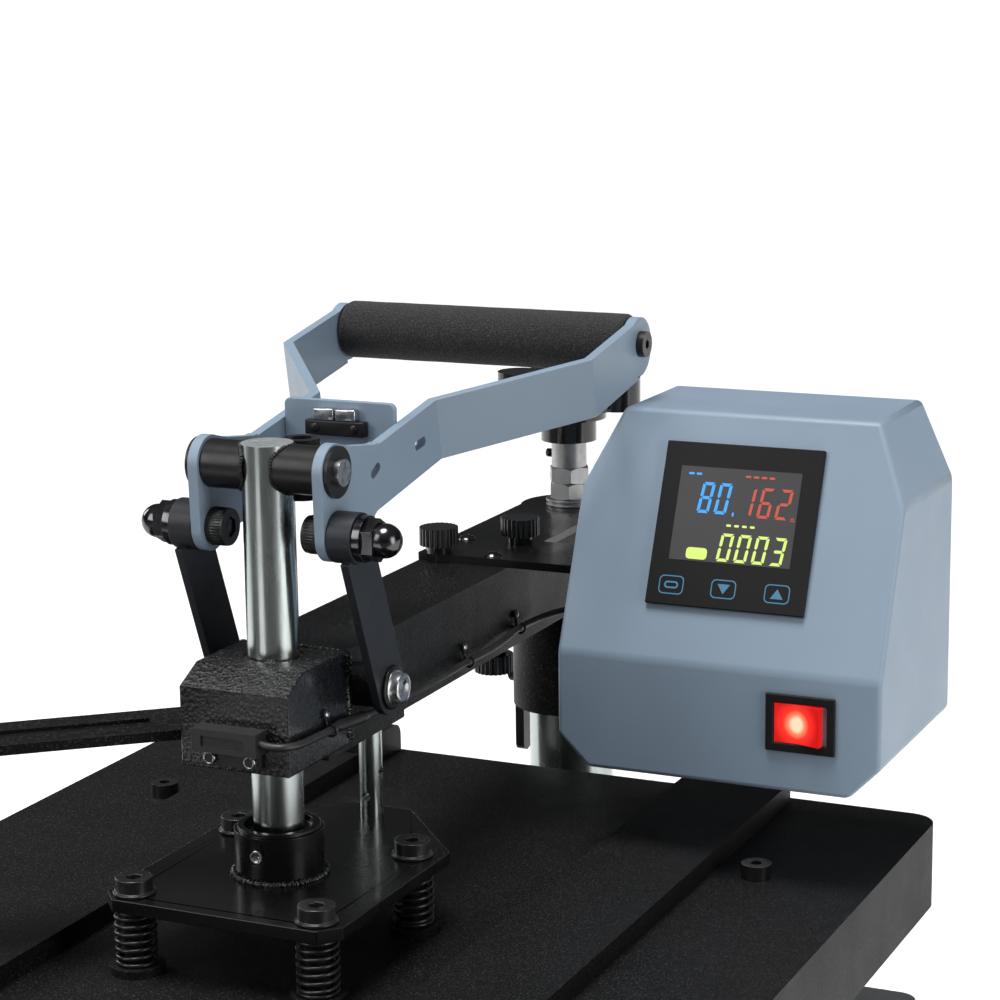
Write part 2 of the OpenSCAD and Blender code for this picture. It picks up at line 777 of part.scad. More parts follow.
// One cheek before bending, seen from the side, from the lever's pivot.
module cheek_side() {
    difference() {
        union() {
            rod_x(0, 120, 12, 0, 0);
            rod_x(0, 120, 10.8, 0, -crank);
            along_x(0, 120) polygon([[-12, 0], [-10.8, -crank], [10.8, -crank], [12, 0]]);
            along_x(0, 120) polygon([[-1, 11.9], [4, 11.2], [14, 8.6], [36, 5.4], [40, 5.6], [40, -10], [-1, -10]]);
            along_x(0, 120) polygon([[8, -crank - 5], [11, -8], [48, -8], [48, -21], [40, -22.5], [35, -25.5], [31, -30]]);
            translate([0, 0, bar_mid]) rotate([lever_slope, 0, 0])
                slab([0, 6, -cheek_bar / 2], [120, lever_len - 1, cheek_bar / 2]);
            rod_x(0, 120, 14.3, grip_pos[0], grip_pos[1] - 1.4);
        }
        rod_x(-1, 121, pin_r + run, 0, 0);
        rod_x(-1, 121, pin_r, 0, -crank);
        rod_x(-1, 121, 3, grip_pos[0], grip_pos[1]);
        along_x(-1, 121) translate([36.6, -6.1]) rotate(24) slot(9, 4.4);
        along_x(-1, 121) translate([79.9, -1.9]) rotate(8) slot(10.6, 4.4);
    }
}

// Plan view of the right cheek's bent strip, in X and Y from the lever's pivot.
module cheek_plan() {
    bend = [97, 162];
    shift = half_grip + cheek_t - cheek_out;
    polygon([[cheek_in, -20], [cheek_out, -20], [cheek_out, bend[0]], [cheek_out + shift, bend[1]],
             [cheek_out + shift, 260], [cheek_in + shift, 260], [cheek_in + shift, bend[1] + 1.5],
             [cheek_in, bend[0] + 1.5]]);
}

module cheek() {
    color("#7e93a8") translate([0, ram_y, pivot_z]) intersection() {
        cheek_side();
        rotate([lever_slope, 0, 0]) translate([0, 0, -90]) linear_extrude(180) cheek_plan();
    }
}

module cheek_right() {
    cheek();
}

module cheek_left() {
    mirror([1, 0, 0]) cheek();
}

module cross_plate() {
    color("#7e93a8") translate([0, ram_y + 64, pivot_z]) along_y(0, 3) translate([0, 2.5]) rounded(2 * cheek_in, 31, 3);
}

// Black bracket with two magnet blocks, facing the sensor when the lever is closed.
module magnet_holder() {
    face = ram_y + 64;
    color("#141415") slab([-14.5, face - 5, pivot_z + 3], [14.5, face, pivot_z + 9.6]);
    color("#c9cbce") for (x = [-10.4, 0.4]) slab([x, face - 5, pivot_z + 9.6], [x + 10, face, pivot_z + 15]);
}

grip_y = ram_y + grip_pos[0];
grip_z = pivot_z + grip_pos[1];

module grip_tube() {
    color("#3a3b3d") difference() {
        rod_x(-half_grip, half_grip, 8, grip_y, grip_z);
        both_sides() rod_x(half_grip - 14, half_grip + 1, 3, grip_y, grip_z);
    }
}

module foam_grip() {
    color("#191919") difference() {
        rod_x(-half_grip + 1, half_grip - 1, grip_d / 2, grip_y, grip_z);
        rod_x(-half_grip, half_grip, 8, grip_y, grip_z);
    }
}

module grip_screws() {
    outer = half_grip + cheek_t;
    color("#202124") both_sides() difference() {
        union() {
            rod_x(half_grip - 14, outer, 3, grip_y, grip_z);
            rod_x(outer, outer + 3.6, 6.2, grip_y, grip_z);
        }
        translate([outer + 3.6, grip_y, grip_z]) rotate([0, 90, 0]) hex_socket(4, 2.4);
    }
}

ear_z = pivot_z - crank;
nut_x = link_end + 3.6;

// Cap screws through the cheeks' lower ears; the links turn on their shanks.
module ear_bolts() {
    color("#1c1c1d") both_sides() {
        difference() {
            rod_x(19, cheek_in, 8, ram_y, ear_z);
            translate([19, ram_y, ear_z]) rotate([0, -90, 0]) hex_socket(8, 4.5);
        }
        rod_x(cheek_in, nut_x + 5, pin_r, ram_y, ear_z);
    }
}

module acorn_nuts() {
    low = link_end + 0.3;
    color("#8d9094") for (turn = [0, 180]) translate([0, ram_y, ear_z]) rotate([0, 0, turn]) difference() {
        union() {
            rod_x(low, nut_x, 10, 0, 0);
            translate([nut_x, 0, 0]) rotate([0, 90, 0]) cylinder(h = 5.4, r = 9.4, $fn = 6);
            rod_x(nut_x + 5.4, nut_x + 7.5, 7.4, 0, 0);
            translate([nut_x + 7.5, 0, 0]) rotate([0, 90, 0]) rotate_extrude() intersection() {
                circle(7.4);
                square(8);
            }
        }
        rod_x(low - 1, nut_x + 5, pin_r, 0, 0);
    }
}

// ---------- links ----------

module link() {
    lean = atan(link_set_back / link_rise);
    length = norm([link_set_back, link_rise]);
    color("#1b1c1f") translate([0, ram_y, ear_z]) rotate([lean, 0, 0]) difference() {
        union() {
            rod_x(cheek_out + 0.3, link_end, 11, 0, 0);
            slab([link_x, -link_w / 2, -length], [link_x + link_t, link_w / 2, -6]);
            rod_x(link_x, link_x + link_t, link_w / 2, 0, -length);
        }
        rod_x(cheek_out, link_end + 1, pin_r + run, 0, 0);
        rod_x(cheek_out, link_end + 1, link_bolt_r, 0, -length);
    }
}

module link_bolt() {
    face = link_x + link_t;
    color("#c6c9cc") {
        rod_x(link_x, face + 1.5, link_bolt_r, link_low[0], link_low[1]);
        rod_x(face + 1.5, face + 6, 6.8, link_low[0], link_low[1]);
    }
    color("#1a1a1b") difference() {
        rod_x(face, face + 1.5, 9.8, link_low[0], link_low[1]);
        rod_x(face - 1, face + 2, link_bolt_r, link_low[0], link_low[1]);
    }
}

module link_right() {
    link();
}

module link_left() {
    mirror([1, 0, 0]) link();
}

module link_bolt_right() {
    link_bolt();
}

module link_bolt_left() {
    mirror([1, 0, 0]) link_bolt();
}

// ---------- the press ----------

base_side_tubes();
base_cross_tubes();
tube_plugs();
rubber_feet();
post_socket();
post();
bed_pedestal();
lower_platen();
silicone_pad();
thrust_bearing();
hand_wheel();
adjusting_screw();
screw_nuts();
arm_tube();
ram_block();
ram_bushes();
post_sleeve();
top_plate();
plate_screws();
swing_handle();
closing_sensor();
sensor_cable();
cable_clips();
under_arm_knob();
box_shell();
box_back();
display_unit();
switch_bezel();
mains_inlet();
thumbscrew_front();
thumbscrew_rear();
clamp_lever();
rocker();
ram();
cross_tube();
pivot_pin();
ram_collar();
collar_screw();
spring_plate();
guide_rod();
platen_cover();
shoulder_bolts();
springs();
cover_screws();
insulation();
heat_plate();
terminal_cover();
cheek_right();
cheek_left();
cross_plate();
magnet_holder();
grip_tube();
foam_grip();
grip_screws();
ear_bolts();
acorn_nuts();
link_right();
link_left();
link_bolt_right();
link_bolt_left();
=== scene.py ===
"""Looks for the swing-away heat press: materials, foam grip, coil springs, cable, display and studio."""

import math

import bmesh
import bpy
from mathutils import Matrix, Vector, noise


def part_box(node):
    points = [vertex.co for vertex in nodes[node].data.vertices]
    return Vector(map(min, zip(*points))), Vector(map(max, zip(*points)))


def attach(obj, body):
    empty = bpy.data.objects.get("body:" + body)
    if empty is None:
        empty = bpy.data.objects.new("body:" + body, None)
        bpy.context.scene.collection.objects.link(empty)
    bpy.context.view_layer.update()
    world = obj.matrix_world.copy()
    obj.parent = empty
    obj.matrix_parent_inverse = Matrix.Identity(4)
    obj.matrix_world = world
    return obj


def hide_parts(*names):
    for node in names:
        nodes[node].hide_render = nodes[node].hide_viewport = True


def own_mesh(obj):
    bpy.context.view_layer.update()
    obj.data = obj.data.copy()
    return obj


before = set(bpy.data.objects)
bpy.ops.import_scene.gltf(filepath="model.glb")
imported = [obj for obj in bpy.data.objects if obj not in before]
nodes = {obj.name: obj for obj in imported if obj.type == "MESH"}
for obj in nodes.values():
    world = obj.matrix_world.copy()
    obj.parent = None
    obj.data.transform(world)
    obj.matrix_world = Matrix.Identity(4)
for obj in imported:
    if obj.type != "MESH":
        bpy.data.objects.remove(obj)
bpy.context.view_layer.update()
MM = 0.001


# ---------- places taken from the frame ----------

def low(node):
    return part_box(node)[0]


def high(node):
    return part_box(node)[1]


def middle(node):
    return (low(node) + high(node)) / 2


RAM = middle("ram")
POST = middle("post")
COVER_TOP = high("platen_cover").z
DECK = COVER_TOP - 10 * MM
PIVOT = middle("pivot_pin")
ARM_LOW, ARM_HIGH = low("arm_tube"), high("arm_tube")
BLOCK_LOW, BLOCK_HIGH = low("ram_block"), high("ram_block")
BOX_LOW, BOX_HIGH = low("box_shell"), high("box_shell")
EARS = middle("ear_bolts")


# ---------- camera ----------

camera = bpy.data.objects.new("camera", bpy.data.cameras.new("camera"))
bpy.context.scene.collection.objects.link(camera)
camera.data.lens = 95.57
camera.data.sensor_width = 36
camera.data.clip_start, camera.data.clip_end = 0.05, 400
AZIMUTH, ELEVATION, ROLL = (math.radians(a) for a in (24.854, 11.780, -0.778))
back = Vector((math.sin(AZIMUTH) * math.cos(ELEVATION), -math.cos(AZIMUTH) * math.cos(ELEVATION),
               math.sin(ELEVATION)))
level_x = Vector((0, 0, 1)).cross(back).normalized()
level_y = back.cross(level_x)
camera_x = math.cos(ROLL) * level_x + math.sin(ROLL) * level_y
camera_y = -math.sin(ROLL) * level_x + math.cos(ROLL) * level_y
turn = Matrix((camera_x, camera_y, back)).transposed()
camera.matrix_world = Matrix.Translation((0.54896, -0.99323, 0.6405)) @ turn.to_4x4()
bpy.context.scene.camera = camera


# ---------- materials ----------

class Recipe:
    """One node material, built up step by step on a Principled shader."""

    def __init__(self, name, colour, roughness, metallic=0.0, coat=0.0, coat_roughness=0.1, stretch=(1, 1, 1),
                 shine=0.5):
        self.name = name
        self.material = bpy.data.materials.new(name)
        self.material.use_nodes = True
        self.tree = self.material.node_tree
        self.shader = self.tree.nodes["Principled BSDF"]
        self.colour, self.roughness = colour, roughness
        self.shader.inputs["Base Color"].default_value = (*colour, 1)
        self.shader.inputs["Roughness"].default_value = roughness
        self.shader.inputs["Metallic"].default_value = metallic
        self.shader.inputs["Specular IOR Level"].default_value = shine
        self.shader.inputs["Coat Weight"].default_value = coat
        self.shader.inputs["Coat Roughness"].default_value = coat_roughness
        coordinates = self.add("ShaderNodeTexCoord")
        mapping = self.add("ShaderNodeMapping")
        mapping.inputs["Scale"].default_value = stretch
        self.join(coordinates.outputs["Object"], mapping.inputs["Vector"])
        self.place = mapping.outputs["Vector"]
        self.normal = coordinates.outputs["Normal"]
        self.bump = None

    def add(self, kind, **values):
        node = self.tree.nodes.new(kind)
        for key, value in values.items():
            setattr(node, key, value)
        return node

    def join(self, a, b):
        self.tree.links.new(a, b)

    def noise(self, scale, detail=3.0, rough=0.6):
        node = self.add("ShaderNodeTexNoise")
        node.inputs["Scale"].default_value = scale
        node.inputs["Detail"].default_value = detail
        node.inputs["Roughness"].default_value = rough
        self.join(self.place, node.inputs["Vector"])
        return node.outputs["Fac"]

    def cells(self, scale):
        node = self.add("ShaderNodeTexVoronoi", feature="F1")
        node.inputs["Scale"].default_value = scale
        self.join(self.place, node.inputs["Vector"])
        return node.outputs["Distance"]

    def spread(self, value, low_in, high_in, low_out, high_out):
        node = self.add("ShaderNodeMapRange")
        for socket, number in zip(("From Min", "From Max", "To Min", "To Max"), (low_in, high_in, low_out, high_out)):
            node.inputs[socket].default_value = number
        self.join(value, node.inputs["Value"])
        return node.outputs["Result"]

    def tint(self, value, other, low_in=0.35, high_in=0.65):
        """Base colour runs to another colour where value is high."""
        mix = self.add("ShaderNodeMix", data_type="RGBA")
        source = self.shader.inputs["Base Color"]
        if source.is_linked:
            self.join(source.links[0].from_socket, mix.inputs["A"])
        else:
            mix.inputs["A"].default_value = (*self.colour, 1)
        mix.inputs["B"].default_value = (*other, 1)
        self.join(self.spread(value, low_in, high_in, 0, 1), mix.inputs["Factor"])
        self.join(mix.outputs["Result"], source)
        return self

    def wear(self, value, rough_low, rough_high):
        """Roughness varies with value."""
        self.join(self.spread(value, 0.3, 0.7, rough_low, rough_high), self.shader.inputs["Roughness"])
        return self

    def facing(self, axis, low_out, high_out):
        """Runs from low_out to high_out as a face turns towards one of the object's own axes."""
        split = self.add("ShaderNodeSeparateXYZ")
        self.join(self.normal, split.inputs[0])
        size = self.add("ShaderNodeMath", operation="ABSOLUTE")
        self.join(split.outputs[axis], size.inputs[0])
        return self.spread(size.outputs[0], 0.5, 0.85, low_out, high_out)

    def relief(self, value, height, mask=None):
        """Adds a bump of that height in metres; mask fades it."""
        node = self.add("ShaderNodeBump")
        node.inputs["Strength"].default_value = 1.0
        if mask:
            self.join(mask, node.inputs["Strength"])
        node.inputs["Distance"].default_value = height
        self.join(value, node.inputs["Height"])
        if self.bump:
            self.join(self.bump, node.inputs["Normal"])
        self.bump = node.outputs["Normal"]
        self.join(self.bump, self.shader.inputs["Normal"])
        return self

    def glow(self, colour, strength):
        self.shader.inputs["Emission Color"].default_value = (*colour, 1)
        self.shader.inputs["Emission Strength"].default_value = strength
        return self


def grey(value):
    return (value, value, value * 1.03)


def make_materials():
    made = {}

    def keep(recipe):
        made[recipe.name] = recipe.material
        return recipe

    # Fine-textured powder coat on the platen's cover; its lighter grains are partly the coat's texture and partly
    # painted glints
    r = keep(Recipe("cover_coat", grey(0.004), 0.5, shine=0.2))
    speckle_and_glints = r.noise(1050, 3, 0.75)
    r.tint(speckle_and_glints, grey(0.055), 0.56, 0.7).wear(r.noise(22, 4), 0.48, 0.58)
    r.relief(speckle_and_glints, 0.00018).relief(r.noise(420, 3), 0.0001)

    # Arm, sleeve and stand: satin black with a sandy texture; its lighter grains are partly texture and partly
    # painted glints
    r = keep(Recipe("arm_coat", grey(0.0035), 0.42, shine=0.22))
    sand_and_glints = r.noise(800, 3, 0.7)
    r.tint(sand_and_glints, grey(0.055), 0.56, 0.7).wear(r.noise(30, 4), 0.36, 0.52).relief(sand_and_glints, 0.0003)

    # Spring plate, bracket plate and collar: smoother, mirror-like black
    r = keep(Recipe("gloss_coat", grey(0.005), 0.26, coat=0.15, coat_roughness=0.1, shine=0.25))
    fine = r.noise(1300, 2, 0.6)
    r.wear(r.noise(25, 4), 0.2, 0.34).relief(fine, 0.00003).tint(fine, grey(0.014), 0.6, 0.75)

    # Lever's stubs and bolts: plain satin black
    r = keep(Recipe("satin_black", grey(0.009), 0.36, shine=0.4))
    r.wear(r.noise(60, 4), 0.3, 0.42).relief(r.noise(700, 3), 0.00003)

    # Links: black with a blue cast
    r = keep(Recipe("link_coat", (0.017, 0.019, 0.024), 0.44, shine=0.35))
    r.tint(r.noise(900, 3, 0.7), (0.028, 0.03, 0.037), 0.5, 0.72).wear(r.noise(60, 4), 0.38, 0.5)
    r.relief(r.noise(1100, 3), 0.00005)

    # Block that carries the ram: coarse, wet-looking crackle
    r = keep(Recipe("crackle_coat", grey(0.005), 0.24, coat=0.3, coat_roughness=0.1, shine=0.5))
    sides = r.facing("X", 1, 0.07)
    r.relief(r.cells(600), 0.0008, sides).relief(r.noise(1700, 3, 0.7), 0.0003, sides)
    # Faces turned to either side get a lighter blue-black base colour: painted reflection on the smooth side plates
    r.tint(r.facing("X", 0, 1), (0.011, 0.0125, 0.0155), 0, 1).wear(r.noise(600, 3), 0.16, 0.36)

    # Blue-grey paint of the lever and the control box
    r = keep(Recipe("blue_grey", (0.24, 0.315, 0.4), 0.46, coat=0.12, coat_roughness=0.3, shine=0.4))
    cloud = r.noise(9, 4, 0.55)
    r.tint(cloud, (0.252, 0.328, 0.415), 0.4, 0.62).wear(r.noise(35, 4), 0.4, 0.5)
    r.relief(r.noise(700, 2), 0.00002)

    # Ground and plated steel, drawn along its length
    r = keep(Recipe("plated_steel", (0.46, 0.5, 0.49), 0.2, metallic=1.0, stretch=(1, 1, 0.12)))
    r.join(r.facing("Z", 1, 0.35), r.shader.inputs["Metallic"])
    streak = r.noise(260, 4, 0.7)
    r.tint(streak, (0.34, 0.37, 0.365), 0.5, 0.8).wear(r.noise(90, 5, 0.7), 0.14, 0.32).relief(streak, 0.00001)

    r = keep(Recipe("bright_steel", (0.58, 0.59, 0.6), 0.26, metallic=1.0))
    r.tint(r.noise(180, 4), (0.42, 0.43, 0.44), 0.5, 0.8).wear(r.noise(240, 4), 0.2, 0.36)
    r.relief(r.noise(1500, 2), 0.00002)

    # Zinc-plated nuts: bright but not mirror-like
    r = keep(Recipe("zinc_steel", (0.5, 0.5, 0.505), 0.4, metallic=0.75))
    r.tint(r.noise(160, 4), (0.4, 0.4, 0.405), 0.5, 0.75).wear(r.noise(200, 3), 0.34, 0.46)
    r.relief(r.noise(1500, 2), 0.00002)

    r = keep(Recipe("dark_chrome", (0.1, 0.1, 0.105), 0.16, metallic=1.0))
    r.tint(r.noise(200, 4), (0.06, 0.06, 0.06), 0.5, 0.8).wear(r.noise(150, 4), 0.1, 0.25)

    r = keep(Recipe("black_steel", grey(0.025), 0.34, metallic=0.55, coat=0.15))
    r.tint(r.noise(240, 4), grey(0.07), 0.55, 0.75).wear(r.noise(160, 4), 0.26, 0.44)
    r.relief(r.noise(1400, 2), 0.00004)

    r = keep(Recipe("bronze", (0.46, 0.3, 0.12), 0.34, metallic=1.0))
    r.tint(r.noise(300, 4), (0.3, 0.18, 0.07), 0.5, 0.75).relief(r.noise(1600, 2), 0.00004)

    r = keep(Recipe("sensor_plastic", (0.025, 0.0225, 0.0225), 0.4))
    r.wear(r.noise(120, 4), 0.34, 0.46).relief(r.noise(1700, 2), 0.00003)

    r = keep(Recipe("moulded_black", grey(0.014), 0.42))
    r.wear(r.noise(120, 4), 0.36, 0.5).relief(r.noise(1700, 2), 0.00005)

    r = keep(Recipe("gloss_black", grey(0.009), 0.16, coat=0.5, coat_roughness=0.06))
    r.wear(r.noise(60, 3), 0.12, 0.22).relief(r.noise(180, 2), 0.00002)

    r = keep(Recipe("bezel_black", grey(0.013), 0.42, shine=0.15))
    r.wear(r.noise(40, 3), 0.38, 0.44)

    # The dark display window glows faintly: painted light that gives it its grey
    r = keep(Recipe("screen_grey", (0.04, 0.0385, 0.04), 0.3, shine=0.2))
    r.wear(r.noise(70, 3), 0.26, 0.36).glow((0.1, 0.095, 0.1), 0.25)

    for name, colour, strength in (
        ("lit_blue", (0.045, 0.37, 0.9), 1.0),
        ("lit_red", (0.52, 0.075, 0.042), 1.0),
        ("lit_green", (0.66, 0.85, 0.19), 1.0),
        # The key outlines glow as well: painted light, since no lamp sits behind them
        ("key_blue", (0.08, 0.3, 0.5), 0.55),
    ):
        r = keep(Recipe(name, tuple(c * 0.15 for c in colour), 0.4))
        r.glow(colour, strength).wear(r.noise(400, 2), 0.35, 0.45)

    # Closed-cell foam: dull, pitted, with dust-grey high spots
    r = keep(Recipe("foam", (0.0105, 0.0105, 0.011), 0.92))
    r.tint(r.noise(1500, 2, 0.7), (0.075, 0.072, 0.07), 0.5, 0.7)
    r.relief(r.cells(1500), 0.0004).relief(r.noise(1900, 3, 0.7), 0.0003)
    r.shader.inputs["Sheen Weight"].default_value = 0.12
    r.shader.inputs["Sheen Roughness"].default_value = 0.5

    r = keep(Recipe("rubber", grey(0.016), 0.72))
    r.tint(r.noise(250, 3), grey(0.03), 0.5, 0.75).relief(r.noise(1200, 3), 0.0001)

    r = keep(Recipe("cable_sheath", grey(0.02), 0.44))
    r.tint(r.noise(160, 3), grey(0.05), 0.55, 0.75).wear(r.noise(200, 3), 0.36, 0.52).relief(r.noise(900, 3), 0.00008)

    r = keep(Recipe("silicone", (0.36, 0.37, 0.375), 0.6))
    r.tint(r.noise(40, 4), (0.31, 0.32, 0.325), 0.45, 0.65).relief(r.noise(1100, 3), 0.0001)

    r = keep(Recipe("cast_bed", grey(0.03), 0.5))
    r.tint(r.noise(200, 4), grey(0.05), 0.5, 0.7).relief(r.noise(500, 4), 0.0002)

    r = keep(Recipe("heater", (0.055, 0.052, 0.05), 0.36, metallic=0.3))
    r.tint(r.noise(30, 4), (0.075, 0.07, 0.066), 0.45, 0.65).relief(r.noise(1300, 2), 0.00005)

    r = keep(Recipe("mineral_board", (0.62, 0.58, 0.48), 0.95))
    r.tint(r.noise(500, 4), (0.5, 0.46, 0.38), 0.45, 0.6).relief(r.noise(700, 5), 0.0006)

    # Lit red rocker: hot in its middle, where the lamp sits
    r = keep(Recipe("lit_rocker", (0.62, 0.012, 0.01), 0.18, coat=0.5, coat_roughness=0.06))
    centre = middle("rocker")
    distance = r.add("ShaderNodeVectorMath", operation="DISTANCE")
    r.join(r.place, distance.inputs[0])
    distance.inputs[1].default_value = centre
    ramp = r.add("ShaderNodeValToRGB")
    stops = ramp.color_ramp.elements
    stops[0].position, stops[0].color = 0.0, (1.0, 0.8, 0.55, 1)
    stops[1].position, stops[1].color = 1.0, (0.34, 0.003, 0.003, 1)
    warm = stops.new(0.16)
    warm.color = (1.0, 0.28, 0.13, 1)
    deep = stops.new(0.42)
    deep.color = (0.85, 0.03, 0.02, 1)
    r.join(r.spread(distance.outputs["Value"], 0.005, 0.0125, 0, 1), ramp.inputs["Fac"])
    r.join(ramp.outputs["Color"], r.shader.inputs["Emission Color"])
    r.shader.inputs["Emission Strength"].default_value = 1.0
    r.relief(r.noise(220, 2), 0.00006)
    return made


mats = make_materials()

# node: (material, width of its rounded edges in millimetres)
FINISHES = {
    "base_side_tubes": ("arm_coat", 1.4), "base_cross_tubes": ("arm_coat", 1.4), "tube_plugs": ("moulded_black", 1.0),
    "rubber_feet": ("rubber", 1.5), "post_socket": ("arm_coat", 1.0), "post": ("plated_steel", 0.8),
    "bed_pedestal": ("arm_coat", 1.0), "lower_platen": ("cast_bed", 1.5), "silicone_pad": ("silicone", 1.0),
    "thrust_bearing": ("zinc_steel", 0.25), "hand_wheel": ("gloss_black", 1.6),
    "adjusting_screw": ("bright_steel", 0.3), "screw_nuts": ("zinc_steel", 0.4), "arm_tube": ("arm_coat", 1.2),
    "ram_block": ("crackle_coat", 1.6), "ram_bushes": ("bronze", 0.3), "post_sleeve": ("arm_coat", 0.8),
    "top_plate": ("gloss_coat", 0.5),
    "plate_screws": ("dark_chrome", 0.3), "swing_handle": ("arm_coat", 0.6),
    "closing_sensor": ("sensor_plastic", 0.6),
    "under_arm_knob": ("gloss_black", 0.3), "box_back": ("arm_coat", 0.3), "display_unit": ("bezel_black", 0.5),
    "switch_bezel": ("bezel_black", 0.7), "mains_inlet": ("moulded_black", 0.6),
    "thumbscrew_front": ("gloss_black", 0.35),
    "thumbscrew_rear": ("gloss_black", 0.35), "clamp_lever": ("satin_black", 0.6), "rocker": ("lit_rocker", 0.8),
    "ram": ("plated_steel", 0.7), "cross_tube": ("satin_black", 0.5), "pivot_pin": ("bright_steel", 0.4),
    "ram_collar": ("gloss_coat", 0.8), "spring_plate": ("gloss_coat", 0.6),
    "guide_rod": ("plated_steel", 0.5), "platen_cover": ("cover_coat", 1.1), "shoulder_bolts": ("black_steel", 0.6),
    "cover_screws": ("gloss_black", 0.7), "insulation": ("mineral_board", 1.0), "heat_plate": ("heater", 1.0),
    "terminal_cover": ("cover_coat", 0.8), "cheek_right": ("blue_grey", 0.5), "cheek_left": ("blue_grey", 0.5),
    "cross_plate": ("blue_grey", 0.5), "grip_tube": ("black_steel", 0.4), "grip_screws": ("black_steel", 0.6),
    "ear_bolts": ("satin_black", 0.5), "acorn_nuts": ("dark_chrome", 0.5), "link_right": ("link_coat", 0.4),
    "link_left": ("link_coat", 0.4),
}


def dress(obj, material, edge_mm, flatten=False):
    """Material, and rounded edges that catch the light; flatten first joins the triangles of each flat face."""
    if "custom_normal" in obj.data.attributes:
        obj.data.attributes.remove(obj.data.attributes["custom_normal"])
    obj.data.materials.clear()
    obj.data.materials.append(mats[material])
    for face in obj.data.polygons:
        face.use_smooth = True
    weld = obj.modifiers.new("weld", "WELD")
    weld.merge_threshold = 0.00001
    if flatten:
        flat = obj.modifiers.new("flat", "DECIMATE")
        flat.decimate_type = "DISSOLVE"
        flat.angle_limit = math.radians(0.5)
    bevel = obj.modifiers.new("edges", "BEVEL")
    bevel.width = edge_mm * MM
    bevel.segments = 3
    bevel.limit_method = "ANGLE"
    bevel.angle_limit = math.radians(32)
    normals = obj.modifiers.new("normals", "WEIGHTED_NORMAL")
    normals.weight = 80


for node, (material, edge) in FINISHES.items():
    dress(nodes[node], material, edge, node.startswith(("link_", "cheek_", "cross_plate")))


# ---------- mesh helpers ----------

def piece(name, bm, material, body, smooth=True):
    """Turns a bmesh in the row frame into a piece that rides on a body."""
    bmesh.ops.recalc_face_normals(bm, faces=bm.faces)
    data = bpy.data.meshes.new(name)
    bm.to_mesh(data)
    bm.free()
    for face in data.polygons:
        face.use_smooth = smooth
    data.materials.append(mats[material])
    obj = bpy.data.objects.new(name, data)
    bpy.context.scene.collection.objects.link(obj)
    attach(obj, body)
    return obj


def smooth_path(points, steps=8, closed=False):
    """A Catmull-Rom curve through the points."""
    count = len(points)
    path = []
    spans = count if closed else count - 1
    for i in range(spans):
        if closed:
            p = [points[(i + k) % count] for k in (-1, 0, 1, 2)]
        else:
            p = [points[min(max(i + k, 0), count - 1)] for k in (-1, 0, 1, 2)]
        for s in range(steps):
            t = s / steps
            path.append(0.5 * ((2 * p[1]) + (p[2] - p[0]) * t + (2 * p[0] - 5 * p[1] + 4 * p[2] - p[3]) * t * t
                               + (3 * p[1] - p[0] - 3 * p[2] + p[3]) * t ** 3))
    if not closed:
        path.append(points[-1].copy())
    return path


def tube(bm, path, radius, sides=12, closed=False):
    """Sweeps a round section along a path. radius is a number or a function of the ring's index."""
    rings = []
    count = len(path)
    side = None
    for i, point in enumerate(path):
        ahead = path[(i + 1) % count] if closed else path[min(i + 1, count - 1)]
        behind = path[i - 1] if closed else path[max(i - 1, 0)]
        along = (ahead - behind).normalized()
        if side is None:
            side = along.orthogonal().normalized()
        side = (side - along * side.dot(along)).normalized()
        up = along.cross(side)
        r = radius(i) if callable(radius) else radius
        rings.append([bm.verts.new(point + r * (math.cos(a) * side + math.sin(a) * up))
                      for a in (2 * math.pi * k / sides for k in range(sides))])
    for i in range(count if closed else count - 1):
        one, two = rings[i], rings[(i + 1) % count]
        for k in range(sides):
            bm.faces.new((one[k], one[(k + 1) % sides], two[(k + 1) % sides], two[k]))
    if not closed:
        bm.faces.new(rings[0])
        bm.faces.new(list(reversed(rings[-1])))


def turned(bm, profile, origin, axis, sides=48, ripple=0, depth=0.0):
    """A turned part: profile is (distance along axis, radius) in millimetres; ripple gives it knurled sides."""
    axis = axis.normalized()
    side = axis.orthogonal().normalized()
    up = axis.cross(side)
    rings = []
    for along, radius in profile:
        ring = []
        for k in range(sides):
            a = 2 * math.pi * k / sides
            r = radius - (depth * (0.5 + 0.5 * math.cos(ripple * a)) if ripple and radius > 2 else 0)
            ring.append(bm.verts.new(origin + MM * (along * axis + r * (math.cos(a) * side + math.sin(a) * up))))
        rings.append(ring)
    for one, two in zip(rings, rings[1:]):
        for k in range(sides):
            bm.faces.new((one[k], one[(k + 1) % sides], two[(k + 1) % sides], two[k]))
    bm.faces.new(rings[0])
    bm.faces.new(list(reversed(rings[-1])))


def block(bm, low_corner, high_corner, edge):
    """A box with rounded edges."""
    made = bmesh.ops.create_cube(bm, size=1.0)["verts"]
    size = high_corner - low_corner
    for v in made:
        v.co = low_corner + Vector((size.x * (v.co.x + 0.5), size.y * (v.co.y + 0.5), size.z * (v.co.z + 0.5)))
    edges = list({e for v in made for e in v.link_edges})
    bmesh.ops.bevel(bm, geom=edges, offset=edge, segments=3, affect="EDGES", profile=0.5)


def weld_bead(name, points, radius, body, material, closed=False):
    """A weld: overlapping ripples along a path."""
    path = smooth_path(points, 10, closed)
    ripple = [1 + 0.22 * math.sin(i * 1.35) + 0.18 * noise.noise(Vector((i * 0.31, radius * 900, 0.5)))
              for i in range(len(path))]
    for i, p in enumerate(path):
        p += Vector([0.18 * radius * noise.noise(Vector((i * 0.4, axis * 7.7, 3.1))) for axis in range(3)])
    bm = bmesh.new()
    tube(bm, path, lambda i: radius * ripple[i], 10, closed)
    return piece(name, bm, material, body)


def level_circle(centre, radius, count):
    """Points round an upright axis."""
    angles = (2 * math.pi * k / count for k in range(count))
    return [centre + radius * (math.cos(a) * X + math.sin(a) * Y) for a in angles]


X, Y, Z = Vector((1, 0, 0)), Vector((0, 1, 0)), Vector((0, 0, 1))


# ---------- foam grip ----------

